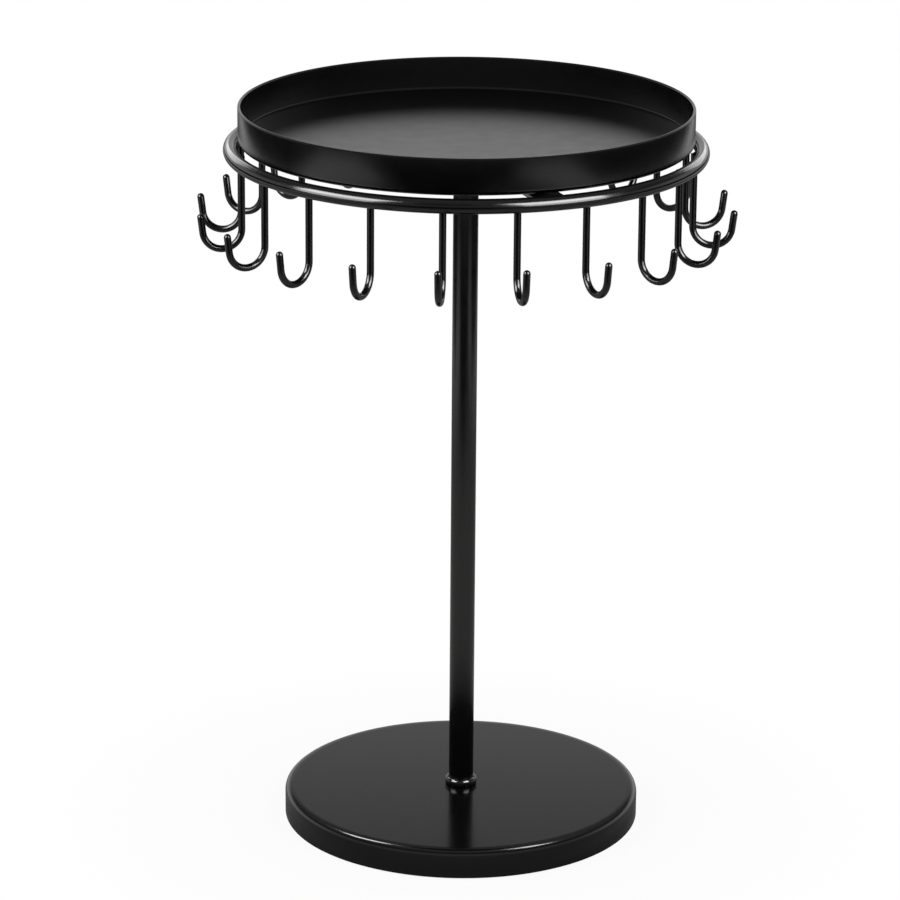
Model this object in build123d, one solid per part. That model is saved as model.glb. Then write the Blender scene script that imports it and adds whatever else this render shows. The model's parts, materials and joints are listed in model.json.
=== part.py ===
from build123d import *

import os

# Necklace holder: a weighted round base, a pole that turns on it, a wire ring of J hooks and a tray on top.
# Millimetres. Z is up, the origin is the middle of the base's lower face, and the front is at -Y.
# Angles round the pole are counted from the front, growing towards +X.

# Rounding of a sheet's cut edge, as a share of the sheet
edge_round_share = 0.45

# Base
base_d = 144.0
base_h = 12.5
base_sheet = 1.5
base_bend_r = 0.9
base_rim_lift = 0.6
pad_t = 1.5
ballast_gap = 0.2

# Swivel between the base and the pole
pivot_d = 7.0
pivot_gap = 0.05
pivot_head_d = 12.0
pivot_head_h = 2.6
pivot_head_lift = 2.2
pivot_head_round = 0.8
pivot_socket_af = 4.0
pivot_socket_depth = 1.5
washer_d = 14.0
washer_t = 1.0
end_float = 0.2
recess_gap = 1.5
bush_wall = 1.45
bush_seat_gap = 0.05
collar_lip = 1.45
collar_h = 3.1
collar_round = 0.9

# Pole
pole_d = 10.0
pole_wall = 1.0
pole_l = 262.7
insert_l = 14.0
insert_gap = 0.03
thread_d = 5.0
thread_gap = 0.03
thread_grip = 10.0
thread_lead = 0.5

# Hook ring and the strap that carries it
ring_d = 184.7
ring_wire_d = 5.8
bar_w = 12.0
bar_t = 2.0
bar_edge_r = 0.4
bar_hole_gap = 0.25
bar_after_hooks = 1.5  # midway between the second and the third hook

# Hooks
hook_count = 20
hook_first_angle = -5.7
hook_wire_d = 2.8
hook_set_down = 1.2
hook_top = 0.8
hook_drop = 37.2
hook_bend_r = 7.7
hook_tip_l = 7.7
hook_tip_lean = 7.0
hook_tip_round = 1.2
hook_top_round = 0.4

# Tray
tray_d = 179.0
tray_h = 14.4
tray_sheet = 1.2
tray_bend_r = 0.8
stud_flange_d = 20.0
stud_flange_h = 2.0
stud_flange_round = 0.5

# Heights and places that follow from the sizes above
base_r = base_d / 2
cover_under = base_h - base_sheet
ballast_r = base_r - base_sheet - ballast_gap
head_top = pivot_head_lift + pivot_head_h
washer_top = head_top + washer_t
recess_top = washer_top + end_float
recess_r = washer_d / 2 + recess_gap
bush_bore_r = pivot_d / 2 + pivot_gap
spigot_r = bush_bore_r + bush_wall
spigot_hole_r = spigot_r + bush_seat_gap
pole_r = pole_d / 2
collar_r = pole_r + collar_lip
pole_foot = base_h + collar_h
pole_top = pole_foot + pole_l
insert_r = pole_r - pole_wall - insert_gap
insert_bore_r = thread_d / 2 + thread_gap
bar_top = pole_top + bar_t
ring_z = pole_top + bar_t / 2
ring_r = ring_d / 2
hook_pitch = 360 / hook_count
bar_angle = hook_first_angle + bar_after_hooks * hook_pitch
hook_wire_r = hook_wire_d / 2
hook_shank_r = ring_r - ring_wire_d / 2 - hook_wire_r + hook_set_down
hook_bend_z = ring_z - hook_drop + hook_wire_r + hook_bend_r
tray_floor_under = bar_top + stud_flange_h
tray_floor = tray_floor_under + tray_sheet
tray_rim = tray_floor_under + tray_h


def turned(points, rounds=()):
    """Turns a closed (radius, height) outline about Z, with the named corners rounded first."""
    outline = make_face(Polyline(*points, close=True))
    for corner, radius in rounds:
        outline = fillet(outline.vertices().sort_by_distance(Vector(*corner))[0], radius)
    return revolve(Plane.XZ * outline, Axis.Z)


def sleeve(outer_r, inner_r, low, high):
    """A plain round sleeve between two heights."""
    return turned([(inner_r, low), (outer_r, low), (outer_r, high), (inner_r, high)])


def at_angle(shape, angle):
    """Turns a shape that was drawn along +X to its angle from the front."""
    return Rot(Z=angle - 90) * shape


def make_base_cover():
    """Pressed shell: flat top, bent edge, straight skirt with a rounded lower edge."""
    inner_r = base_r - base_sheet
    skirt_round = edge_round_share * base_sheet
    return turned(
        [
            (spigot_hole_r, base_h),
            (base_r, base_h),
            (base_r, base_rim_lift),
            (inner_r, base_rim_lift),
            (inner_r, cover_under),
            (spigot_hole_r, cover_under),
        ],
        [
            ((base_r, base_h), base_bend_r + base_sheet),
            ((inner_r, cover_under), base_bend_r),
            ((base_r, base_rim_lift), skirt_round),
            ((inner_r, base_rim_lift), skirt_round),
        ],
    )


def make_ballast_plate():
    """Steel weight under the cover, with a recess below for the pivot bolt's head and washer."""
    return turned(
        [
            (spigot_hole_r, cover_under),
            (ballast_r, cover_under),
            (ballast_r, pad_t),
            (recess_r, pad_t),
            (recess_r, recess_top),
            (spigot_hole_r, recess_top),
        ],
        [((ballast_r, cover_under), base_bend_r + ballast_gap)],
    )


def make_base_pad():
    """Non-slip pad under the weight, open in the middle so that the bolt can be reached."""
    return sleeve(ballast_r, recess_r, 0, pad_t)


def make_pivot_bush():
    """Flanged bush: a spigot through the cover and the weight, and the collar that the pole stands on."""
    return turned(
        [
            (bush_bore_r, recess_top),
            (spigot_r, recess_top),
            (spigot_r, base_h),
            (collar_r, base_h),
            (collar_r, pole_foot),
            (bush_bore_r, pole_foot),
        ],
        [((collar_r, pole_foot), collar_round)],
    )


def make_thrust_washer():
    """Washer that lies on the bolt's head and keeps the pole from lifting out."""
    return sleeve(washer_d / 2, bush_bore_r, head_top, washer_top)


def make_pivot_bolt():
    """Shoulder bolt: domed head, ground shoulder that runs in the bush, and a thread in the pole's foot."""
    thread_r = thread_d / 2
    body = turned(
        [
            (0, pivot_head_lift),
            (pivot_head_d / 2, pivot_head_lift),
            (pivot_head_d / 2, head_top),
            (pivot_d / 2, head_top),
            (pivot_d / 2, pole_foot),
            (thread_r, pole_foot),
            (thread_r, pole_foot + thread_grip - thread_lead),
            (thread_r - thread_lead, pole_foot + thread_grip),
            (0, pole_foot + thread_grip),
        ],
        [((pivot_head_d / 2, pivot_head_lift), pivot_head_round)],
    )
    hexagon = RegularPolygon(pivot_socket_af / 2, 6, major_radius=False)
    socket = extrude(Pos(0, 0, pivot_head_lift) * hexagon, pivot_socket_depth)
    return body - socket


def make_pole_tube():
    """Drawn steel tube, standing on the collar."""
    return sleeve(pole_r, pole_r - pole_wall, pole_foot, pole_top)


def make_insert(low):
    """Threaded insert fixed in one end of the pole."""
    return sleeve(insert_r, insert_bore_r, low, low + insert_l)


def make_hook_ring():
    """Round wire ring, butt welded into a circle."""
    return Pos(0, 0, ring_z) * Torus(ring_r, ring_wire_d / 2)


def make_ring_crossbar(ring):
    """Flat strap across the ring, coped to the wire at both ends and holed for the tray's stud."""
    strap = Box(ring_d, bar_w, bar_t)
    strap = fillet(strap.edges().filter_by(Axis.X), bar_edge_r)
    hole = Cylinder(thread_d / 2 + bar_hole_gap, bar_t)
    return at_angle(Pos(0, 0, ring_z) * (strap - hole), bar_angle) - ring


def make_hook(ring):
    """One J hook drawn along +X: shank, round bend and outward-leaning tip, saddled on the ring's inside."""
    shank_top = Vector(hook_shank_r, 0, ring_z + hook_top)
    bend_start = Vector(hook_shank_r, 0, hook_bend_z)
    shank = Line(shank_top, bend_start)
    in_plane = Plane(origin=bend_start, x_dir=(1, 0, 0), z_dir=(0, -1, 0))
    bend = in_plane * JernArc((0, 0), (0, -1), hook_bend_r, 180 - hook_tip_lean)
    tip = Line(bend @ 1, bend @ 1 + (bend % 1) * hook_tip_l)
    section = Plane(origin=shank_top, z_dir=shank % 0) * Circle(hook_wire_r)
    wire = sweep(section, Wire([shank, bend, tip]))
    ends = wire.edges().filter_by(GeomType.CIRCLE)
    wire = fillet(ends.sort_by_distance(tip @ 1)[0], hook_tip_round)
    ends = wire.edges().filter_by(GeomType.CIRCLE)
    wire = fillet(ends.sort_by_distance(shank_top)[0], hook_top_round)
    return wire - ring


def make_tray():
    """Pressed round tray with an upright wall and a rounded rim."""
    outer_r = tray_d / 2
    inner_r = outer_r - tray_sheet
    rim_round = edge_round_share * tray_sheet
    return turned(
        [
            (0, tray_floor_under),
            (outer_r, tray_floor_under),
            (outer_r, tray_rim),
            (inner_r, tray_rim),
            (inner_r, tray_floor),
            (0, tray_floor),
        ],
        [
            ((outer_r, tray_floor_under), tray_bend_r + tray_sheet),
            ((inner_r, tray_floor), tray_bend_r),
            ((outer_r, tray_rim), rim_round),
            ((inner_r, tray_rim), rim_round),
        ],
    )


def make_tray_stud():
    """Stud under the tray: its flange clamps the strap on the pole, its thread goes into the top insert."""
    thread_r = thread_d / 2
    thread_end = pole_top - thread_grip
    return turned(
        [
            (0, tray_floor_under),
            (stud_flange_d / 2, tray_floor_under),
            (stud_flange_d / 2, bar_top),
            (thread_r, bar_top),
            (thread_r, thread_end + thread_lead),
            (thread_r - thread_lead, thread_end),
            (0, thread_end),
        ],
        [((stud_flange_d / 2, bar_top), stud_flange_round)],
    )


def make_parts():
    """All pieces by name."""
    ring = make_hook_ring()
    hook = make_hook(ring)
    parts = {
        "base_cover": make_base_cover(),
        "ballast_plate": make_ballast_plate(),
        "base_pad": make_base_pad(),
        "pivot_bush": make_pivot_bush(),
        "thrust_washer": make_thrust_washer(),
        "pivot_bolt": make_pivot_bolt(),
        "pole_tube": make_pole_tube(),
        "pole_foot_insert": make_insert(pole_foot),
        "pole_top_insert": make_insert(pole_top - insert_l),
        "hook_ring": ring,
        "ring_crossbar": make_ring_crossbar(ring),
        "tray": make_tray(),
        "tray_stud": make_tray_stud(),
    }
    for number in range(hook_count):
        parts[f"hook_{number + 1:02d}"] = at_angle(hook, hook_first_angle + number * hook_pitch)
    return parts


os.makedirs("parts", exist_ok=True)
for name, shape in make_parts().items():
    export_step(shape, f"parts/{name}.step")
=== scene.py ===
"""Looks of a turning necklace holder in black powder-coated steel, set in a plain white studio.

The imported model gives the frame: every new piece takes its place from the boxes of the nodes that it
stands for. Sizes of the pieces are millimetres, and MM turns them to metres. The studio is in metres.
Angles round the pole are degrees from the front, at -Y, growing towards +X.
"""

import json
import logging
import math
from collections.abc import Callable, Iterator
from contextlib import contextmanager
from dataclasses import dataclass
from enum import Enum
from typing import Any

import bmesh
import bpy
from mathutils import Matrix, Vector

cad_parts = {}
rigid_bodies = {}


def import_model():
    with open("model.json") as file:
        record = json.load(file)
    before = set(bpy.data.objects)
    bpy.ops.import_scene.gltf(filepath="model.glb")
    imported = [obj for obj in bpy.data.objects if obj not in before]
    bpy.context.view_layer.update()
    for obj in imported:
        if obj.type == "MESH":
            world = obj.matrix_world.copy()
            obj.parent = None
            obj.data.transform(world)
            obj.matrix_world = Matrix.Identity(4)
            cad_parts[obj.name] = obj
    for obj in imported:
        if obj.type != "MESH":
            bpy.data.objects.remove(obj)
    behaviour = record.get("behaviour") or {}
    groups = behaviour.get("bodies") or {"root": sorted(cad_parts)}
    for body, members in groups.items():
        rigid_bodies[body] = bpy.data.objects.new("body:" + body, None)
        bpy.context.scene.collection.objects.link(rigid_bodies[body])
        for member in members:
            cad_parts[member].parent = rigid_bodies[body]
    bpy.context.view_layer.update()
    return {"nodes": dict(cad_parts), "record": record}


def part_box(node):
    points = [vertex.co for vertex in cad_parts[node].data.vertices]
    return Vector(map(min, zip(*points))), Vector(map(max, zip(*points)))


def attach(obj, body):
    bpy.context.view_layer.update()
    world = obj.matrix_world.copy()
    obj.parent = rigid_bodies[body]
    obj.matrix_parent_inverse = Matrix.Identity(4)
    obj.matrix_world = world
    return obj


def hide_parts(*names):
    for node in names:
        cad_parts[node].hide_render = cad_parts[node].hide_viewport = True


LOG = logging.getLogger("necklace_holder")
MM = 0.001
BASE_BODY = "base"
ROTOR_BODY = "rotor"
FULL_TURN = 2 * math.pi
PLACE_TOLERANCE = 0.002 * MM

# The bevel profile that is a quarter circle
ROUND_PROFILE = 0.5

# The front's direction, in degrees from +X
FRONT_FROM_X = -90.0

# The height of a direction of length 1
STRAIGHT_DOWN = -1.0
STRAIGHT_UP = 1.0

Outline = list[tuple[float, float]]
Stops = tuple[tuple[float, float], ...]


class Pick(Enum):
    """What a selection in edit mode is made of."""

    VERTS = "VERT"
    EDGES = "EDGE"


class Turning(Enum):
    """How finely a turned piece is divided round the pole's axis."""

    LARGE = 288
    MEDIUM = 128
    SMALL = 64


class Blend(Enum):
    """How the second of two mixed colours acts on the first."""

    MIX = "MIX"
    ADD = "ADD"
    MULTIPLY = "MULTIPLY"


class Sum(Enum):
    """A sum over values in a node tree."""

    ABSOLUTE = "ABSOLUTE"
    ADD = "ADD"
    MULTIPLY = "MULTIPLY"
    MULTIPLY_ADD = "MULTIPLY_ADD"


# Modelling


@contextmanager
def editing(piece: bpy.types.Object, pick: Pick = Pick.VERTS) -> Iterator[None]:
    """Opens a piece in edit mode with nothing selected, and leaves edit mode at the end.

    Args:
        piece: The mesh object to edit.
        pick: The kind of element that selections are made of.

    Yields:
        Nothing, while the piece is open.
    """
    bpy.ops.object.select_all(action="DESELECT")
    piece.select_set(True)
    bpy.context.view_layer.objects.active = piece
    bpy.ops.object.mode_set(mode="EDIT")
    bpy.ops.mesh.select_mode(type=pick.value)
    bpy.ops.mesh.select_all(action="DESELECT")
    yield
    bpy.ops.object.mode_set(mode="OBJECT")


def select_where(piece: bpy.types.Object, pick: Pick, test: Callable[[Vector], bool]) -> int:
    """Selects the elements of the piece in edit mode whose vertices all pass a test.

    Args:
        piece: The object in edit mode.
        pick: The kind of element to select.
        test: Says whether a vertex's place belongs to the selection.

    Returns:
        How many elements are selected.
    """
    mesh = bmesh.from_edit_mesh(piece.data)
    count = 0
    for element in mesh.verts if pick is Pick.VERTS else mesh.edges:
        corners = [element] if pick is Pick.VERTS else element.verts
        wanted = all(test(corner.co) for corner in corners)
        element.select_set(wanted)
        count += wanted
    mesh.select_flush_mode()
    bmesh.update_edit_mesh(piece.data)
    return count


def named_primitive(name: str, add: Callable[..., set[str]], **settings: object) -> bpy.types.Object:
    """Adds a primitive with nothing else selected, and names its object and mesh.

    Args:
        name: The piece's name.
        add: The operator that adds the primitive.
        settings: The operator's settings.

    Returns:
        The new object.
    """
    bpy.ops.object.select_all(action="DESELECT")
    add(**settings)
    piece = bpy.context.active_object
    piece.name = name
    piece.data.name = name
    return piece


def settle(piece: bpy.types.Object) -> None:
    """Puts the place, turn and scale of a piece into its mesh, so that its object sits at the origin.

    Args:
        piece: The piece to settle.
    """
    bpy.ops.object.select_all(action="DESELECT")
    piece.select_set(True)
    bpy.context.view_layer.objects.active = piece
    bpy.ops.object.transform_apply(location=True, rotation=True, scale=True)


def smooth(piece: bpy.types.Object, sharp_above: float = 40.0) -> None:
    """Shades a piece smooth, apart from its sharp edges.

    Args:
        piece: The piece to shade.
        sharp_above: The angle in degrees from which an edge counts as sharp.
    """
    bpy.ops.object.select_all(action="DESELECT")
    piece.select_set(True)
    bpy.context.view_layer.objects.active = piece
    bpy.ops.object.shade_smooth_by_angle(angle=math.radians(sharp_above))


def close_up(piece: bpy.types.Object) -> None:
    """Merges the doubles of a piece and points its faces outwards.

    Args:
        piece: The piece to close.
    """
    with editing(piece):
        bpy.ops.mesh.select_all(action="SELECT")
        bpy.ops.mesh.remove_doubles(threshold=PLACE_TOLERANCE)
        bpy.ops.mesh.normals_make_consistent(inside=False)


def extrude_by(step: Vector) -> None:
    """Extrudes what is selected in edit mode by a step."""
    bpy.ops.mesh.extrude_region_move(TRANSFORM_OT_translate={"value": step})


def turn(name: str, outline: Outline, turning: Turning) -> bpy.types.Object:
    """Turns an outline about the pole's axis, as on a lathe.

    Args:
        name: The piece's name.
        outline: Corners as (radius, height) in metres. It is closed, or starts and ends on the axis.
        turning: How finely the piece is divided.

    Returns:
        The turned piece, closed and facing outwards.
    """
    piece = named_primitive(name, bpy.ops.mesh.primitive_plane_add, size=MM)
    corners = [Vector((radius, 0.0, height)) for radius, height in outline]
    with editing(piece):
        bpy.ops.mesh.select_all(action="SELECT")
        bpy.ops.mesh.merge(type="CENTER")
        bpy.ops.mesh.select_all(action="SELECT")
        bpy.ops.transform.translate(value=corners[0])
        for here, there in zip(corners, corners[1:]):
            extrude_by(there - here)
        if corners[0].x > 0:
            ends = (corners[0], corners[-1])
            select_where(
                piece,
                Pick.VERTS,
                lambda co: any((co - end).length < PLACE_TOLERANCE for end in ends),
            )
            bpy.ops.mesh.edge_face_add()
        bpy.ops.mesh.select_all(action="SELECT")
        bpy.ops.mesh.spin(steps=turning.value, angle=FULL_TURN, center=(0, 0, 0), axis=(0, 0, 1))
    close_up(piece)
    return piece


def round_rim(
    piece: bpy.types.Object, radius: float, height: float, amount: float, facets: int
) -> None:
    """Rounds the circular edge of a turned piece at one radius and height, all in metres.

    Args:
        piece: The turned piece.
        radius: The edge's radius.
        height: The edge's height.
        amount: The rounding's radius.
        facets: How many facets the rounding has.
    """

    def on_rim(co: Vector) -> bool:
        """Says whether a vertex lies on the circle."""
        off = math.hypot(math.hypot(co.x, co.y) - radius, co.z - height)
        return off < PLACE_TOLERANCE

    with editing(piece, Pick.EDGES):
        found = select_where(piece, Pick.EDGES, on_rim)
        if not found:
            raise ValueError(f"{piece.name} has no edge at radius {radius} and height {height}")
        bpy.ops.mesh.bevel(
            offset=amount, offset_type="OFFSET", segments=facets, profile=ROUND_PROFILE, affect="EDGES"
        )


def copy_turned(piece: bpy.types.Object, name: str, degrees: float) -> bpy.types.Object:
    """Copies a piece with its own mesh and turns the copy about the pole's axis.

    Args:
        piece: The piece to copy.
        name: The copy's name.
        degrees: The turn, counted from the piece.

    Returns:
        The copy, with the turn in its mesh.
    """
    bpy.ops.object.select_all(action="DESELECT")
    piece.select_set(True)
    bpy.context.view_layer.objects.active = piece
    bpy.ops.object.duplicate(linked=False)
    copy = bpy.context.active_object
    copy.name = name
    copy.data.name = name
    copy.rotation_euler[2] = math.radians(degrees)
    settle(copy)
    return copy


def dress(piece: bpy.types.Object, material: bpy.types.Material) -> None:
    """Gives a piece one material."""
    piece.data.materials.clear()
    piece.data.materials.append(material)


def place(piece: bpy.types.Object, body: str, slot: str, stands_for: str | None = None) -> None:
    """Hands a finished piece to the frame and reports it.

    Args:
        piece: The finished piece.
        body: The body that carries it.
        slot: The record's material slot that its finish belongs to; not used.
        stands_for: The node that it replaces, if any.
    """
    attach(piece, body)
    if stands_for:
        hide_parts(stands_for)
    LOG.info("%s: %d faces on %s", piece.name, len(piece.data.polygons), body)


# Finishes


def linear(hex_colour: str) -> tuple[float, float, float, float]:
    """Turns an sRGB hex colour to a linear one, by the standard's own formula.

    Args:
        hex_colour: The colour, as # and six digits.

    Returns:
        Linear red, green, blue and alpha.
    """
    channels = [int(hex_colour[place : place + 2], 16) / 255 for place in (1, 3, 5)]
    red, green, blue = (c / 12.92 if c <= 0.04045 else ((c + 0.055) / 1.055) ** 2.4 for c in channels)
    return red, green, blue, 1.0


def per_mm(size: float) -> float:
    """The texture scale at which a pattern repeats about once in a size in millimetres."""
    return 1 / (size * MM)


def add_node(
    tree: bpy.types.NodeTree, kind: str, settings: dict[str, object] | None = None, **sockets: object
) -> bpy.types.Node:
    """Adds a node, with its settings, socket values and links.

    Args:
        tree: The node tree that gets it.
        kind: Blender's name for the kind of node.
        settings: Properties of the node.
        sockets: Values or source sockets by input name, with _ for a space, or by _ and the input's number.

    Returns:
        The new node.
    """
    node = tree.nodes.new(kind)
    for name, value in (settings or {}).items():
        setattr(node, name, value)
    for name, value in sockets.items():
        socket = node.inputs[int(name[1:])] if name[1:].isdigit() else node.inputs[name.replace("_", " ")]
        if isinstance(value, bpy.types.NodeSocket):
            tree.links.new(value, socket)
        else:
            socket.default_value = value
    return node


def add_noise(
    tree: bpy.types.NodeTree, place_of: bpy.types.NodeSocket, size: float, detail: float, swirl: float = 0.0
) -> bpy.types.NodeSocket:
    """Adds a cloudy noise.

    Args:
        tree: The node tree that gets it.
        place_of: Where a point of the surface is.
        size: The size of a cloud in millimetres.
        detail: How many finer layers lie in it.
        swirl: How far the clouds are stirred.

    Returns:
        The noise, from 0 to 1.
    """
    return add_node(
        tree, "ShaderNodeTexNoise", Vector=place_of, Scale=per_mm(size), Detail=detail, Distortion=swirl
    ).outputs["Fac"]


def add_range(
    tree: bpy.types.NodeTree,
    value: bpy.types.NodeSocket,
    given: tuple[float, float],
    wanted: tuple[object, object],
    eased: bool = False,
) -> bpy.types.NodeSocket:
    """Adds a change of a value from one range to another, held at its ends.

    Args:
        tree: The node tree that gets it.
        value: The value to change.
        given: The ends of the range that it has.
        wanted: The ends of the range that it gets, as values or sockets.
        eased: Whether it starts and ends softly.

    Returns:
        The changed value.
    """
    return add_node(
        tree,
        "ShaderNodeMapRange",
        {"interpolation_type": "SMOOTHSTEP" if eased else "LINEAR"},
        Value=value,
        From_Min=given[0],
        From_Max=given[1],
        To_Min=wanted[0],
        To_Max=wanted[1],
    ).outputs["Result"]


def add_sum(
    tree: bpy.types.NodeTree, kind: Sum, *values: bpy.types.NodeSocket, held: bool = False
) -> bpy.types.NodeSocket:
    """Adds a sum over values.

    Args:
        tree: The node tree that gets it.
        kind: The sum.
        values: What goes into it.
        held: Whether the result is held between 0 and 1.

    Returns:
        The result.
    """
    sockets = {f"_{number}": value for number, value in enumerate(values)}
    settings = {"operation": kind.value, "use_clamp": held}
    return add_node(tree, "ShaderNodeMath", settings, **sockets).outputs["Value"]


def add_mix(
    tree: bpy.types.NodeTree, share: object, first: object, second: object, blend: Blend = Blend.MIX
) -> bpy.types.NodeSocket:
    """Adds a mix of two colours, which are inputs 6 and 7 and output 2 of its node.

    Args:
        tree: The node tree that gets it.
        share: How much of the second colour there is, as a value or a socket.
        first: A linear colour or a socket.
        second: A linear colour or a socket.
        blend: How the second colour acts on the first.

    Returns:
        The mixed colour.
    """
    settings = {"data_type": "RGBA", "blend_type": blend.value}
    return add_node(tree, "ShaderNodeMix", settings, _0=share, _6=first, _7=second).outputs[2]


def add_relief(
    tree: bpy.types.NodeTree, pattern: bpy.types.NodeSocket, depth: float, strength: float
) -> bpy.types.NodeSocket:
    """Adds a relief that shows in the light and leaves the shape as it is.

    Args:
        tree: The node tree that gets it.
        pattern: The relief's heights, from 0 to 1.
        depth: The size of a full height in millimetres.
        strength: How much of it shows.

    Returns:
        The bent normal.
    """
    return add_node(
        tree, "ShaderNodeBump", Strength=strength, Distance=depth * MM, Height=pattern
    ).outputs["Normal"]


def new_material(name: str) -> tuple[bpy.types.Material, bpy.types.NodeTree, bpy.types.NodeSocket]:
    """Makes a material with an empty node tree.

    Args:
        name: The material's name.

    Returns:
        The material, its node tree, and where a point of the surface is.
    """
    material = bpy.data.materials.new(name)
    material.use_nodes = True
    tree = material.node_tree
    tree.nodes.clear()
    return material, tree, add_node(tree, "ShaderNodeTexCoord").outputs["Object"]


def add_surface(tree: bpy.types.NodeTree, **sockets: object) -> None:
    """Ends a material in a Principled shader, with sockets as for add_node."""
    shader = add_node(tree, "ShaderNodeBsdfPrincipled", **sockets)
    add_node(tree, "ShaderNodeOutputMaterial", Surface=shader.outputs["BSDF"])


@dataclass(frozen=True)
class PowderCoat:
    """Polyester powder baked on steel.

    It gives the eye a closed black film with a faint orange peel, from satin to semi-gloss.
    """

    name: str
    film: str
    haze: str
    roughness_low: float
    roughness_high: float
    haze_mm: float = 22.0
    haze_detail: float = 3.0
    patch_mm: float = 6.0
    patch_detail: float = 4.0
    patch_from: float = 0.3
    patch_to: float = 0.7
    peel_mm: float = 1.4
    peel_detail: float = 2.0
    peel_height_mm: float = 0.0015
    peel_strength: float = 1.0
    ior: float = 1.5

    def material(self) -> bpy.types.Material:
        """Builds the coat: clouded black film, uneven gloss and a rippled skin.

        Returns:
            The material.
        """
        material, tree, place_of = new_material(self.name)
        cloud = add_noise(tree, place_of, self.haze_mm, self.haze_detail)
        patch = add_noise(tree, place_of, self.patch_mm, self.patch_detail)
        peel = add_noise(tree, place_of, self.peel_mm, self.peel_detail)
        patch_range = (self.patch_from, self.patch_to)
        add_surface(
            tree,
            Base_Color=add_mix(tree, cloud, linear(self.film), linear(self.haze)),
            Roughness=add_range(tree, patch, patch_range, (self.roughness_low, self.roughness_high)),
            Normal=add_relief(tree, peel, self.peel_height_mm, self.peel_strength),
            IOR=self.ior,
        )
        return material


@dataclass(frozen=True)
class MouldedAcetal:
    """Black acetal from a polished mould.

    It gives the eye a glossy black with faint flow marks, brighter than the coat beside it.
    """

    name: str = "moulded_black_acetal"
    body: str = "#090909"
    flow: str = "#121212"
    flow_mm: float = 3.0
    flow_detail: float = 2.0
    flow_swirl: float = 1.5
    roughness_low: float = 0.06
    roughness_high: float = 0.14
    ior: float = 1.48

    def material(self) -> bpy.types.Material:
        """Builds the plastic: black with flow marks that also dull its gloss.

        Returns:
            The material.
        """
        material, tree, place_of = new_material(self.name)
        marks = add_noise(tree, place_of, self.flow_mm, self.flow_detail, self.flow_swirl)
        add_surface(
            tree,
            Base_Color=add_mix(tree, marks, linear(self.body), linear(self.flow)),
            Roughness=add_range(tree, marks, (0.0, 1.0), (self.roughness_low, self.roughness_high)),
            IOR=self.ior,
        )
        return material


@dataclass(frozen=True)
class ZincPlate:
    """Bright zinc on turned steel.

    It gives the eye a cool, blotched metal with rings from the lathe. The rings are drawn coarser than
    real ones, as coarse as they need to show.
    """

    name: str = "bright_zinc_plate"
    bright: str = "#c3c6c9"
    dull: str = "#9fa3a8"
    ring_mm: float = 0.35
    ring_height_mm: float = 0.01
    ring_wobble: float = 0.5
    ring_strength: float = 0.5
    blotch_mm: float = 2.5
    blotch_detail: float = 3.0
    roughness_low: float = 0.22
    roughness_high: float = 0.4
    metallic: float = 1.0

    def material(self) -> bpy.types.Material:
        """Builds the plate: blotched metal with turning rings in its relief.

        Returns:
            The material.
        """
        material, tree, place_of = new_material(self.name)
        blotch = add_noise(tree, place_of, self.blotch_mm, self.blotch_detail)
        rings = add_node(
            tree,
            "ShaderNodeTexWave",
            {"wave_type": "RINGS", "rings_direction": "Z"},
            Vector=place_of,
            Scale=per_mm(self.ring_mm) / FULL_TURN,
            Distortion=self.ring_wobble,
        )
        add_surface(
            tree,
            Base_Color=add_mix(tree, blotch, linear(self.bright), linear(self.dull)),
            Roughness=add_range(tree, blotch, (0.0, 1.0), (self.roughness_low, self.roughness_high)),
            Normal=add_relief(tree, rings.outputs["Fac"], self.ring_height_mm, self.ring_strength),
            Metallic=self.metallic,
        )
        return material


@dataclass(frozen=True)
class RolledSteel:
    """Hot-rolled plate with its mill scale.

    It gives the eye a dull blue-grey, blotched and slightly pitted.
    """

    name: str = "hot_rolled_steel"
    scale_dark: str = "#34363a"
    scale_light: str = "#55585c"
    blotch_mm: float = 9.0
    blotch_detail: float = 5.0
    pit_mm: float = 0.9
    pit_depth_mm: float = 0.03
    pit_strength: float = 0.6
    roughness: float = 0.55
    metallic: float = 0.4

    def material(self) -> bpy.types.Material:
        """Builds the scale: blotches of grey over small pits.

        Returns:
            The material.
        """
        material, tree, place_of = new_material(self.name)
        blotch = add_noise(tree, place_of, self.blotch_mm, self.blotch_detail)
        pits = add_node(tree, "ShaderNodeTexVoronoi", Vector=place_of, Scale=per_mm(self.pit_mm))
        add_surface(
            tree,
            Base_Color=add_mix(tree, blotch, linear(self.scale_dark), linear(self.scale_light)),
            Roughness=self.roughness,
            Normal=add_relief(tree, pits.outputs["Distance"], self.pit_depth_mm, self.pit_strength),
            Metallic=self.metallic,
        )
        return material


@dataclass(frozen=True)
class FoamPad:
    """Closed-cell black foam sheet.

    It gives the eye a matt skin of cells, drawn coarser than real ones so that they show.
    """

    name: str = "closed_cell_foam"
    wall: str = "#1b1b1b"
    # Painted shade: the colour of the cells' hollows, darker than their walls
    hollow: str = "#0e0e0e"
    cell_mm: float = 0.8
    cell_depth_mm: float = 0.12
    cell_strength: float = 0.7
    roughness: float = 0.9

    def material(self) -> bpy.types.Material:
        """Builds the foam: cells with painted shade, a darker colour, in their hollows.

        Returns:
            The material.
        """
        material, tree, place_of = new_material(self.name)
        voronoi = add_node(tree, "ShaderNodeTexVoronoi", Vector=place_of, Scale=per_mm(self.cell_mm))
        cells = voronoi.outputs["Distance"]
        add_surface(
            tree,
            # Painted shade: the colour darkens towards each cell's hollow
            Base_Color=add_mix(tree, cells, linear(self.hollow), linear(self.wall)),
            Roughness=self.roughness,
            Normal=add_relief(tree, cells, self.cell_depth_mm, self.cell_strength),
        )
        return material


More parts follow.
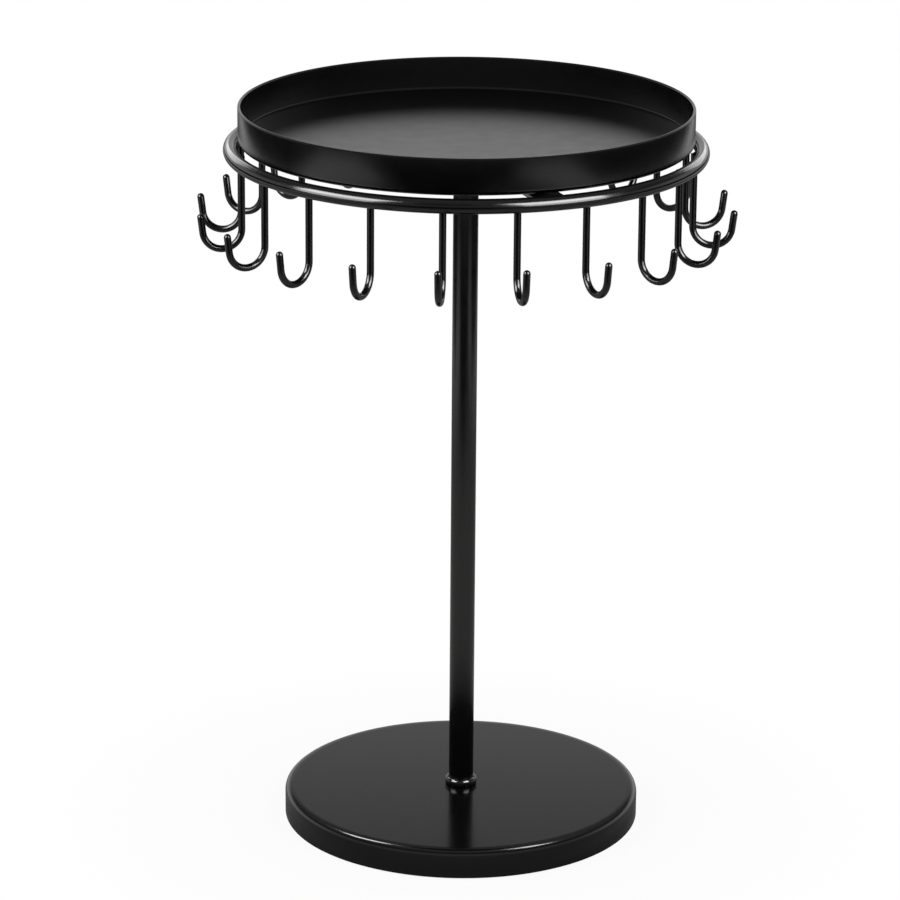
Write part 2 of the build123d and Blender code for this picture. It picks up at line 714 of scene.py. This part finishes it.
class Finishes:
    """All finishes of the holder, each built once."""

    def __init__(self) -> None:
        """Builds the materials."""
        self.tray = PowderCoat(
            "satin_powder_coat_tray",
            film="#070807",
            haze="#0b0c0b",
            roughness_low=0.22,
            roughness_high=0.25,
            peel_height_mm=0.001,
        ).material()
        self.base = PowderCoat(
            "satin_powder_coat_base",
            film="#040404",
            haze="#070707",
            roughness_low=0.14,
            roughness_high=0.16,
            peel_height_mm=0.0004,
        ).material()
        self.pole = PowderCoat(
            "semi_gloss_powder_coat_pole",
            film="#040404",
            haze="#070807",
            roughness_low=0.18,
            roughness_high=0.23,
        ).material()
        self.wire = PowderCoat(
            "semi_gloss_powder_coat_wire",
            film="#040404",
            haze="#070807",
            roughness_low=0.14,
            roughness_high=0.19,
            peel_height_mm=0.0003,
            ior=1.4,
        ).material()
        self.acetal = MouldedAcetal().material()
        self.zinc = ZincPlate().material()
        self.rolled = RolledSteel().material()
        self.foam = FoamPad().material()

    def by_slot(self) -> dict[str, bpy.types.Material]:
        """Gives the material of each of the record's slots.

        Returns:
            Materials by slot.
        """
        return {
            "tray_coat": self.tray,
            "base_coat": self.base,
            "pole_coat": self.pole,
            "wire_coat": self.wire,
            "bush_acetal": self.acetal,
            "plated_steel": self.zinc,
            "ballast_steel": self.rolled,
            "pad_foam": self.foam,
        }


# Sub-assemblies


def radius_of(node: str) -> float:
    """The outer radius of a round node on the pole's axis, in metres."""
    low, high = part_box(node)
    return max(high.x - low.x, high.y - low.y) / 2


@dataclass
class Base:
    """Weighted base: the pressed cover and the bearing collar that stands on it."""

    finishes: Finishes
    sheet: float = 1.5
    bend_inside: float = 0.9
    edge_round: float = 0.65
    hole_radius: float = 5.05
    flat_margin: float = 3.0
    bend_facets: int = 8
    edge_facets: int = 4
    bush_bore: float = 3.55
    bush_spigot: float = 5.0
    collar_top_round: float = 1.3
    collar_top_facets: int = 6
    collar_foot_round: float = 0.6
    collar_foot_facets: int = 4

    def build(self) -> None:
        """Builds the cover and the collar."""
        self.build_cover()
        self.build_collar()

    def build_cover(self) -> None:
        """Turns the pressed cover: flat top, bent edge and straight skirt."""
        low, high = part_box("base_cover")
        outer = radius_of("base_cover")
        sheet = self.sheet * MM
        inner = outer - sheet
        margin = self.flat_margin * MM
        hole = self.hole_radius * MM
        bend = self.bend_inside * MM
        piece = turn(
            "base_shell",
            [
                (hole, high.z),
                (outer - margin - bend, high.z),
                (outer, high.z),
                (outer, low.z),
                (inner, low.z),
                (inner, high.z - sheet),
                (inner - margin, high.z - sheet),
                (hole, high.z - sheet),
            ],
            Turning.LARGE,
        )
        round_rim(piece, outer, high.z, bend + sheet, self.bend_facets)
        round_rim(piece, inner, high.z - sheet, bend, self.edge_facets)
        round_rim(piece, outer, low.z, self.edge_round * MM, self.edge_facets)
        round_rim(piece, inner, low.z, self.edge_round * MM, self.edge_facets)
        smooth(piece)
        dress(piece, self.finishes.base)
        place(piece, BASE_BODY, "base_coat", "base_cover")

    def build_collar(self) -> None:
        """Turns the bearing bush: the spigot in the base and the glossy collar under the pole."""
        low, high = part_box("pivot_bush")
        base_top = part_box("base_cover")[1].z
        outer = radius_of("pivot_bush")
        bore = self.bush_bore * MM
        spigot = self.bush_spigot * MM
        piece = turn(
            "bearing_collar",
            [
                (bore, low.z),
                (spigot, low.z),
                (spigot, base_top),
                (outer, base_top),
                (outer, high.z),
                (bore, high.z),
            ],
            Turning.SMALL,
        )
        round_rim(piece, outer, high.z, self.collar_top_round * MM, self.collar_top_facets)
        round_rim(piece, outer, base_top, self.collar_foot_round * MM, self.collar_foot_facets)
        smooth(piece)
        dress(piece, self.finishes.acetal)
        place(piece, BASE_BODY, "bush_acetal", "pivot_bush")


@dataclass
class Pole:
    """The drawn steel pole."""

    finishes: Finishes
    wall: float = 1.0
    end_round: float = 0.3
    end_facets: int = 3

    def build(self) -> None:
        """Turns the tube and rounds its ends."""
        low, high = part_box("pole_tube")
        outer = radius_of("pole_tube")
        inner = outer - self.wall * MM
        piece = turn(
            "pole_shaft",
            [(inner, low.z), (outer, low.z), (outer, high.z), (inner, high.z)],
            Turning.MEDIUM,
        )
        round_rim(piece, outer, low.z, self.end_round * MM, self.end_facets)
        round_rim(piece, outer, high.z, self.end_round * MM, self.end_facets)
        smooth(piece)
        dress(piece, self.finishes.pole)
        place(piece, ROTOR_BODY, "pole_coat", "pole_tube")


@dataclass
class HookRing:
    """Welded hook ring: the heavy wire ring, its J hooks and the welds."""

    finishes: Finishes
    count: int = 20
    first_angle: float = -5.7
    wire: float = 2.8
    set_down: float = 1.2
    top: float = 0.8
    drop: float = 37.2
    bend: float = 7.7
    tip_length: float = 7.7
    tip_lean: float = 7.0
    wire_sides: int = 28
    bend_steps: int = 40
    dome_steps: int = 6
    ring_sides: int = 40
    seam_angle: float = 165.0
    seam_reach: float = 1.6
    seam_height: float = 0.12
    ring_sharp_above: float = 60.0
    weld_size: tuple[float, float, float] = (1.5, 1.9, 2.1)
    weld_inset: float = 0.2
    weld_down: float = 0.5
    weld_sides: int = 20
    weld_rings: int = 12
    weld_lumps: float = 0.12
    weld_lump_share: float = 0.5
    weld_lump_seed: int = 4
    weld_flow: float = 0.5
    weld_flow_times: int = 2
    weld_sharp_above: float = 80.0

    def __post_init__(self) -> None:
        """Takes the ring's place from the frame."""
        low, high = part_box("hook_ring")
        self.ring_z = (low.z + high.z) / 2
        self.ring_wire_r = (high.z - low.z) / 2
        self.ring_r = radius_of("hook_ring") - self.ring_wire_r
        self.wire_r = self.wire * MM / 2
        self.shank_r = self.ring_r - self.ring_wire_r - self.wire_r + self.set_down * MM

    def build(self) -> None:
        """Builds the ring, then one hook and its weld, and copies both round the ring."""
        self.build_ring()
        hook = self.model_hook()
        weld = self.model_weld()
        step = math.degrees(FULL_TURN) / self.count
        for number in range(self.count):
            angle = FRONT_FROM_X + self.first_angle + number * step
            wire = copy_turned(hook, f"hook_wire_{number + 1:02d}", angle)
            smooth(wire)
            dress(wire, self.finishes.wire)
            place(wire, ROTOR_BODY, "wire_coat", f"hook_{number + 1:02d}")
            bead = copy_turned(weld, f"hook_weld_{number + 1:02d}", angle)
            smooth(bead, self.weld_sharp_above)
            dress(bead, self.finishes.wire)
            place(bead, ROTOR_BODY, "wire_coat")
        for pattern in (hook, weld):
            bpy.data.objects.remove(pattern)

    def build_ring(self) -> None:
        """Bends the wire ring and raises the ground-down butt weld at its back."""
        piece = named_primitive(
            "ring_wire",
            bpy.ops.mesh.primitive_torus_add,
            major_segments=Turning.LARGE.value,
            minor_segments=self.ring_sides,
            major_radius=self.ring_r,
            minor_radius=self.ring_wire_r,
            location=(0, 0, self.ring_z),
        )
        settle(piece)
        turn_to = math.radians(FRONT_FROM_X + self.seam_angle)
        middle = Vector((self.ring_r * math.cos(turn_to), self.ring_r * math.sin(turn_to), self.ring_z))
        along = Vector((-math.sin(turn_to), math.cos(turn_to), 0.0))
        half = self.seam_reach * MM / 2

        def at_seam(co: Vector) -> bool:
            """Says whether a vertex lies on the butt weld."""
            off = co - middle
            return off.length < self.ring_wire_r + half and abs(off.dot(along)) < half

        with editing(piece):
            select_where(piece, Pick.VERTS, at_seam)
            bpy.ops.transform.shrink_fatten(value=-self.seam_height * MM)
        smooth(piece, self.ring_sharp_above)
        dress(piece, self.finishes.wire)
        place(piece, ROTOR_BODY, "wire_coat", "hook_ring")

    def model_hook(self) -> bpy.types.Object:
        """Bends one hook along +X: shank, round bend, leaning tip and domed ends.

        Returns:
            The hook, which is copied round the ring.
        """
        top_z = self.ring_z + self.top * MM
        bend = self.bend * MM
        bend_z = self.ring_z - self.drop * MM + self.wire_r + bend
        piece = named_primitive(
            "hook_pattern",
            bpy.ops.mesh.primitive_circle_add,
            vertices=self.wire_sides,
            radius=self.wire_r,
            fill_type="NGON",
            location=(self.shank_r, 0, top_z),
        )
        settle(piece)
        lean = math.radians(self.tip_lean)
        centre = Vector((self.shank_r + bend, 0.0, bend_z))
        direction = Vector((math.sin(lean), 0.0, math.cos(lean)))
        straight = self.tip_length * MM - self.wire_r
        with editing(piece):
            bpy.ops.mesh.select_all(action="SELECT")
            extrude_by(Vector((0.0, 0.0, bend_z - top_z)))
            bpy.ops.mesh.spin(steps=self.bend_steps, angle=math.pi - lean, center=centre, axis=(0, 1, 0))
            extrude_by(direction * straight)
            bend_end = centre + Vector((math.cos(lean), 0.0, -math.sin(lean))) * bend
            self.dome(bend_end + direction * straight, direction)
        close_up(piece)
        return piece

    def dome(self, start: Vector, direction: Vector) -> None:
        """Closes the wire's selected end with a half-round tip.

        Args:
            start: The middle of the end.
            direction: The way the end points.
        """
        quarter = math.pi / 2
        for step in range(1, self.dome_steps):
            before = quarter * (step - 1) / self.dome_steps
            after = quarter * step / self.dome_steps
            extrude_by(direction * self.wire_r * (math.sin(after) - math.sin(before)))
            shrink = math.cos(after) / math.cos(before)
            at = start + direction * self.wire_r * math.sin(after)
            bpy.ops.transform.resize(value=(shrink, shrink, shrink), center_override=at)

    def model_weld(self) -> bpy.types.Object:
        """Lays one weld bead along +X, between the shank and the ring's inside.

        Returns:
            The bead, which is copied round the ring.
        """
        piece = named_primitive(
            "weld_pattern",
            bpy.ops.mesh.primitive_uv_sphere_add,
            segments=self.weld_sides,
            ring_count=self.weld_rings,
            radius=1.0,
        )
        inside = self.ring_r - self.ring_wire_r
        piece.scale = [size * MM for size in self.weld_size]
        piece.location = (inside + self.weld_inset * MM, 0, self.ring_z - self.weld_down * MM)
        settle(piece)
        with editing(piece):
            bpy.ops.mesh.select_all(action="SELECT")
            bpy.ops.transform.vertex_random(
                offset=self.weld_lumps * MM,
                uniform=self.weld_lump_share,
                normal=self.weld_lump_share,
                seed=self.weld_lump_seed,
            )
            bpy.ops.mesh.vertices_smooth(factor=self.weld_flow, repeat=self.weld_flow_times)
        return piece


@dataclass
class Tray:
    """The shallow pressed tray."""

    finishes: Finishes
    sheet: float = 1.2
    bend_inside: float = 0.8
    rim_round: float = 0.54
    flat_margin: float = 3.5
    outer_bend_facets: int = 7
    inner_bend_facets: int = 6
    rim_facets: int = 5

    def build(self) -> None:
        """Turns the tray and rounds its bends and rim."""
        low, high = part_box("tray")
        outer = radius_of("tray")
        sheet = self.sheet * MM
        inner = outer - sheet
        floor = low.z + sheet
        bend = self.bend_inside * MM
        margin = self.flat_margin * MM
        piece = turn(
            "pressed_tray",
            [
                (0.0, low.z),
                (outer - margin - sheet, low.z),
                (outer, low.z),
                (outer, high.z),
                (inner, high.z),
                (inner, floor),
                (inner - margin, floor),
                (0.0, floor),
            ],
            Turning.LARGE,
        )
        round_rim(piece, outer, low.z, bend + sheet, self.outer_bend_facets)
        round_rim(piece, inner, floor, bend, self.inner_bend_facets)
        round_rim(piece, outer, high.z, self.rim_round * MM, self.rim_facets)
        round_rim(piece, inner, high.z, self.rim_round * MM, self.rim_facets)
        smooth(piece)
        dress(piece, self.finishes.tray)
        place(piece, ROTOR_BODY, "tray_coat", "tray")


def dress_nodes(frame: dict[str, Any], finishes: Finishes) -> None:
    """Gives each node of the frame the finish of its slot.

    Args:
        finishes: The built materials.
    """
    by_slot = finishes.by_slot()
    for row in frame["record"]["subparts"]:
        node = frame["nodes"][row["node"]]
        for slot in node.material_slots:
            slot.material = by_slot[row["material_slot"]]


# Studio


# Names of the pieces that lamps are kept to or kept off, by how they begin
BROAD_PIECES = ("pressed_tray", "base_shell")
GLINT_PIECES = ("ring_wire", "hook_wire", "hook_weld", "bearing_collar")
EDGE_PIECES = ("base_shell", "bearing_collar")


@dataclass(frozen=True)
class LampPair:
    """Two rectangular studio lamps, left and right, that point at the holder.

    Their name has {} where the side goes. A radiance of 1 is white. A pair that lights nothing matt is
    seen in reflections alone.
    """

    name: str
    azimuths: tuple[float, float]
    radiances: tuple[float, float]
    reach: float
    height: float
    width: float
    depth: float
    lights_matt: bool = True
    only_on: tuple[str, ...] = ()
    never_on: tuple[str, ...] = ()
    aim_height: float = 0.2

    def build(self) -> None:
        """Hangs both lamps."""
        for side, azimuth, radiance in zip(("left", "right"), self.azimuths, self.radiances):
            self.hang(self.name.format(side), math.radians(azimuth), radiance)

    def hang(self, name: str, turn_to: float, radiance: float) -> None:
        """Hangs one lamp, with the power that gives its face the wanted radiance.

        Args:
            name: The lamp's name.
            turn_to: Its azimuth in radians.
            radiance: The brightness of its face.
        """
        data = bpy.data.lights.new(name, "AREA")
        data.shape = "RECTANGLE"
        data.size = self.width
        data.size_y = self.depth
        data.energy = radiance * math.pi * self.width * self.depth
        lamp = bpy.data.objects.new(name, data)
        bpy.context.scene.collection.objects.link(lamp)
        lamp.location = (self.reach * math.sin(turn_to), -self.reach * math.cos(turn_to), self.height)
        back = lamp.location - Vector((0.0, 0.0, self.aim_height))
        lamp.rotation_euler = back.to_track_quat("Z", "Y").to_euler()
        lamp.visible_camera = False
        lamp.visible_diffuse = self.lights_matt
        if self.only_on or self.never_on:
            self.flag(lamp)

    def flag(self, lamp: bpy.types.Object) -> None:
        """Keeps the lamp to some pieces or off some pieces, as flags on stands do.

        Args:
            lamp: The hung lamp.
        """
        flagged = bpy.data.collections.new(f"{lamp.name}_flags")
        for piece in bpy.data.objects:
            if piece.name.startswith(self.only_on or self.never_on):
                flagged.objects.link(piece)
        for row in flagged.collection_objects:
            row.light_linking.link_state = "INCLUDE" if self.only_on else "EXCLUDE"
        lamp.light_linking.receiver_collection = flagged


@dataclass(frozen=True)
class PhotoCamera:
    """The photograph's camera, found from the ellipses of the tray, ring and base.

    Places are in millimetres and angles in degrees.
    """

    aim: tuple[float, float, float] = (-5.516, 0.0, 155.452)
    distance: float = 1690.9
    pitch: float = 17.527
    roll: float = 0.4354
    focal_pixels: float = 4223.4
    frame_pixels: float = 900.0
    sensor: float = 36.0
    sight: float = 100000.0

    def build(self) -> None:
        """Sets the camera up and makes it the scene's own."""
        data = bpy.data.cameras.new("photo_camera")
        data.sensor_width = self.sensor
        data.lens = self.focal_pixels / self.frame_pixels * self.sensor
        data.clip_end = self.sight * MM
        camera = bpy.data.objects.new("photo_camera", data)
        bpy.context.scene.collection.objects.link(camera)
        pitch = math.radians(self.pitch)
        roll = math.radians(self.roll)
        back = Vector((0.0, -math.cos(pitch), math.sin(pitch)))
        right = Vector((1.0, 0.0, 0.0))
        up = Vector((0.0, math.sin(pitch), math.cos(pitch)))
        rolled_right = right * math.cos(roll) + up * math.sin(roll)
        rolled_up = up * math.cos(roll) - right * math.sin(roll)
        place_at = Vector(self.aim) * MM + back * self.distance * MM
        turn_to = Matrix((rolled_right, rolled_up, back)).transposed().to_4x4()
        camera.matrix_world = Matrix.Translation(place_at) @ turn_to
        bpy.context.scene.camera = camera


@dataclass
class Studio:
    """Pale paper sweep with two wings, white surroundings, soft lamps and the photograph's camera."""

    # The sweep and its wings
    sweep_half_width: float = 0.85
    sweep_front: float = -0.55
    sweep_back: float = 2.6
    sweep_drop: float = 0.0001
    wing_azimuths: tuple[float, ...] = (-63.0, 39.0)
    wing_from: float = 0.55
    wing_to: float = 2.3
    wing_width: float = 0.85
    wing_drop: float = 0.0005

    # The paper, with painted shade near the foot that only reflections see
    backdrop_colour: str = "#ffffff"
    sweep_colour: str = "#b4b4b2"
    # Painted shade: the darker colour that the paper takes near the holder's foot, in reflections alone
    foot_colour: str = "#7c7c7b"
    foot_reach: float = 0.1
    foot_end: float = 0.13
    near_lift: float = 0.94
    shadow_reach: float = 0.07
    white_from: float = 0.2
    mirror_from: float = 0.45
    mirror_white: float = 0.8

    # The surroundings, as pairs of a direction's height and its brightness
    dome_stops: Stops = ((-0.1, 0.1), (0.1, 0.15))
    horizon_stops: Stops = (
        (-0.06, 0.02),
        (0.0, 1.0),
        (0.24, 0.82),
        (0.345, 0.68),
        (0.365, 0.5),
        (0.385, 0.2),
        (0.42, 0.04),
    )
    overhead_stops: Stops = ((0.4, 0.0), (0.5, 0.12), (0.75, 0.25), (0.95, 0.4))
    side_width: float = 0.3
    front_level: float = 0.5

    # The lamps: those that light the holder, then the panels that only reflections see
    lamps: tuple[LampPair, ...] = (
        LampPair(
            "{}_softbox",
            azimuths=(-60.0, 44.0),
            radiances=(12.0, 12.0),
            reach=0.5,
            height=0.54,
            width=0.4,
            depth=0.22,
            never_on=BROAD_PIECES,
        ),
        LampPair(
            "back_{}_softbox",
            azimuths=(-148.0, 148.0),
            radiances=(2.5, 2.5),
            reach=0.7,
            height=0.5,
            width=0.38,
            depth=0.24,
            never_on=BROAD_PIECES,
        ),
        LampPair(
            "{}_wire_panel",
            azimuths=(-60.0, 44.0),
            radiances=(11.5, 14.0),
            reach=0.56,
            height=0.48,
            width=0.44,
            depth=0.5,
            lights_matt=False,
            only_on=GLINT_PIECES,
        ),
        LampPair(
            "{}_edge_panel",
            azimuths=(-112.5, 67.5),
            radiances=(17.0, 17.0),
            reach=0.4,
            height=0.68,
            width=0.22,
            depth=0.22,
            lights_matt=False,
            only_on=EDGE_PIECES,
            aim_height=0.0,
        ),
    )

    def build(self) -> None:
        """Builds the sweep, the surroundings, the lamps and the camera."""
        bpy.context.scene.view_settings.view_transform = "Standard"
        self.build_sweep()
        self.build_surroundings()
        for pair in self.lamps:
            pair.build()
        PhotoCamera().build()

    def build_sweep(self) -> None:
        """Lays the pale sweep under and behind the holder, and a wing in front of each lamp."""
        paper = self.paper()
        sweep_size = (2 * self.sweep_half_width, self.sweep_back - self.sweep_front)
        middle = (self.sweep_back + self.sweep_front) / 2
        sheets = [self.lay("floor", sweep_size, (0.0, middle), 0.0, self.sweep_drop)]
        wing_size = (self.wing_width, self.wing_to - self.wing_from)
        reach = (self.wing_from + self.wing_to) / 2
        for number, azimuth in enumerate(self.wing_azimuths, 1):
            turn_to = math.radians(azimuth)
            spot = (reach * math.sin(turn_to), -reach * math.cos(turn_to))
            sheets.append(self.lay(f"floor_wing_{number}", wing_size, spot, azimuth, self.wing_drop))
        for sheet in sheets:
            dress(sheet, paper)

    def lay(
        self, name: str, size: tuple[float, float], spot: tuple[float, float], azimuth: float, drop: float
    ) -> bpy.types.Object:
        """Lays one flat sheet of paper.

        Args:
            name: The sheet's name.
            size: Width and length in metres.
            spot: Where its middle lies.
            azimuth: The turn about the upright, in degrees.
            drop: How far it lies under the holder's foot.

        Returns:
            The sheet.
        """
        sheet = named_primitive(name, bpy.ops.mesh.primitive_plane_add, size=1.0)
        sheet.scale = (*size, 1.0)
        sheet.rotation_euler[2] = math.radians(azimuth)
        sheet.location = (*spot, -drop)
        settle(sheet)
        return sheet

    def paper(self) -> bpy.types.Material:
        """Builds the paper: it keeps the holder's shadow, fades to the plain white of the background, and
        has painted shade near the holder's foot that only reflections see.

        Returns:
            The material.
        """
        material, tree, place_of = new_material("pale_paper_sweep")
        away = add_node(tree, "ShaderNodeVectorMath", {"operation": "LENGTH"}, _0=place_of).outputs["Value"]
        across = add_node(tree, "ShaderNodeSeparateXYZ", Vector=place_of).outputs["X"]
        aside = add_sum(tree, Sum.ABSOLUTE, across)
        path = add_node(tree, "ShaderNodeLightPath").outputs
        glossy = path["Is Glossy Ray"]
        lit = add_range(tree, away, (self.shadow_reach, self.white_from), (self.near_lift, 1.0), eased=True)
        mirrored = add_range(tree, aside, (self.mirror_from, self.mirror_white), (0.0, 1.0), eased=True)
        through = add_sum(tree, Sum.ADD, glossy, path["Is Transmission Ray"])
        seen = add_sum(tree, Sum.MULTIPLY, path["Is Camera Ray"], lit)
        lift = add_sum(tree, Sum.MULTIPLY_ADD, through, mirrored, seen, held=True)
        # Painted shade: in reflections alone, the paper's colour darkens near the holder's foot
        foot = add_range(tree, away, (self.foot_reach, self.foot_end), (glossy, 0.0))
        tone = add_mix(tree, foot, linear(self.sweep_colour), linear(self.foot_colour))
        shade = add_node(tree, "ShaderNodeBsdfDiffuse", Color=tone)
        white = add_node(tree, "ShaderNodeEmission", Color=linear(self.backdrop_colour))
        mixed = add_node(
            tree,
            "ShaderNodeMixShader",
            _0=lift,
            _1=shade.outputs["BSDF"],
            _2=white.outputs["Emission"],
        )
        add_node(tree, "ShaderNodeOutputMaterial", Surface=mixed.outputs["Shader"])
        return material

    def build_surroundings(self) -> None:
        """Sets the world: white to the camera, a bright horizon to reflections, and a soft dome of light."""
        world = bpy.data.worlds.new("white_studio")
        bpy.context.scene.world = world
        world.use_nodes = True
        tree = world.node_tree
        tree.nodes.clear()
        direction = add_node(tree, "ShaderNodeTexCoord").outputs["Generated"]
        parts = add_node(tree, "ShaderNodeSeparateXYZ", Vector=direction).outputs
        height = add_range(tree, parts["Z"], (STRAIGHT_DOWN, STRAIGHT_UP), (0.0, 1.0))
        dome = self.add_ramp(tree, height, self.dome_stops)
        horizon = self.add_ramp(tree, height, self.horizon_stops)
        overhead = self.add_ramp(tree, height, self.overhead_stops)
        sides = (-self.side_width, self.side_width)
        behind = add_range(tree, parts["Y"], sides, (self.front_level, 1.0), eased=True)
        band = add_mix(tree, 1.0, horizon, behind, Blend.MULTIPLY)
        above = add_mix(tree, 1.0, band, overhead, Blend.ADD)
        path = add_node(tree, "ShaderNodeLightPath").outputs
        mirrored = add_mix(tree, path["Is Glossy Ray"], dome, above)
        seen = add_sum(tree, Sum.ADD, path["Is Camera Ray"], path["Is Transmission Ray"], held=True)
        colour = add_mix(tree, seen, mirrored, linear(self.backdrop_colour))
        around = add_node(tree, "ShaderNodeBackground", Color=colour)
        add_node(tree, "ShaderNodeOutputWorld", Surface=around.outputs["Background"])

    def add_ramp(
        self, tree: bpy.types.NodeTree, height: bpy.types.NodeSocket, stops: Stops
    ) -> bpy.types.NodeSocket:
        """Adds a grey ramp over the height of a direction.

        Args:
            tree: The world's node tree.
            height: The direction's height, from 0 straight down to 1 straight up.
            stops: Pairs of height, from -1 to 1, and brightness.

        Returns:
            The ramp's grey.
        """
        ramp = add_node(tree, "ShaderNodeValToRGB", Fac=height)
        points = ramp.color_ramp.elements
        while len(points) < len(stops):
            points.new(1.0)
        for point, (rise, level) in zip(points, stops):
            point.position = (rise - STRAIGHT_DOWN) / (STRAIGHT_UP - STRAIGHT_DOWN)
            point.color = (level, level, level, 1.0)
        return ramp.outputs["Color"]


def main() -> None:
    """Loads the frame, builds and dresses the holder, and sets up the studio."""
    logging.basicConfig(level=logging.INFO, format="%(name)s: %(message)s")
    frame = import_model()
    finishes = Finishes()
    dress_nodes(frame, finishes)
    for assembly in (Base(finishes), Pole(finishes), HookRing(finishes), Tray(finishes)):
        assembly.build()
    Studio().build()


if __name__ == "__main__":
    main()
